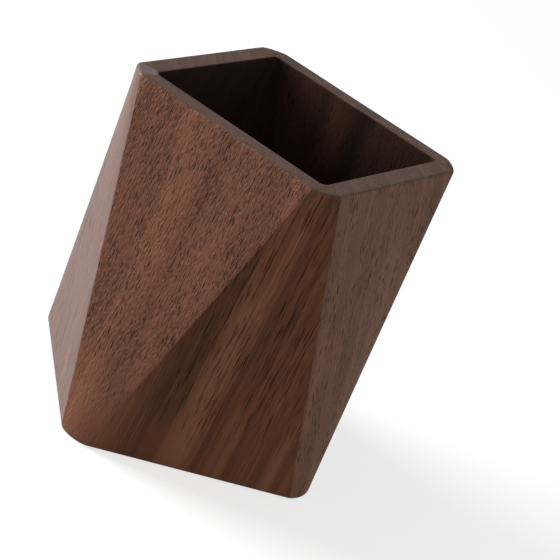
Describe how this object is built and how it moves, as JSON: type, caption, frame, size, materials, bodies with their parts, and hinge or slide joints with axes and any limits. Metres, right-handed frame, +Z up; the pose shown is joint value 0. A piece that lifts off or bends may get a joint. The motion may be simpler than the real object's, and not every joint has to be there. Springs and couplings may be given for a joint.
{
  "type": "pen cup",
  "caption": "Open faceted wooden pen cup: a square rim over a square foot turned by an eighth of a turn.",
  "frame": {"origin": "centre of the foot, on the surface that the cup stands on", "axes": "+Z up through the well; +X and +Y square to the sides of the rim; the front is -Y"},
  "size_m": [0.1012, 0.1012, 0.1],
  "materials": {
    "warm_brown_walnut": "satin",
    "grey_brown_walnut": "satin",
    "pale_walnut": "satin",
    "dark_striped_walnut": "satin",
    "floor_walnut": "satin"
  },
  "bodies": {
    "root": {"front_stave": "warm_brown_walnut", "right_stave": "grey_brown_walnut", "back_stave": "warm_brown_walnut", "left_stave": "grey_brown_walnut", "front_left_stave": "pale_walnut", "front_right_stave": "dark_striped_walnut", "back_right_stave": "warm_brown_walnut", "back_left_stave": "dark_striped_walnut", "base_board": "floor_walnut"}
  },
  "joints": []
}
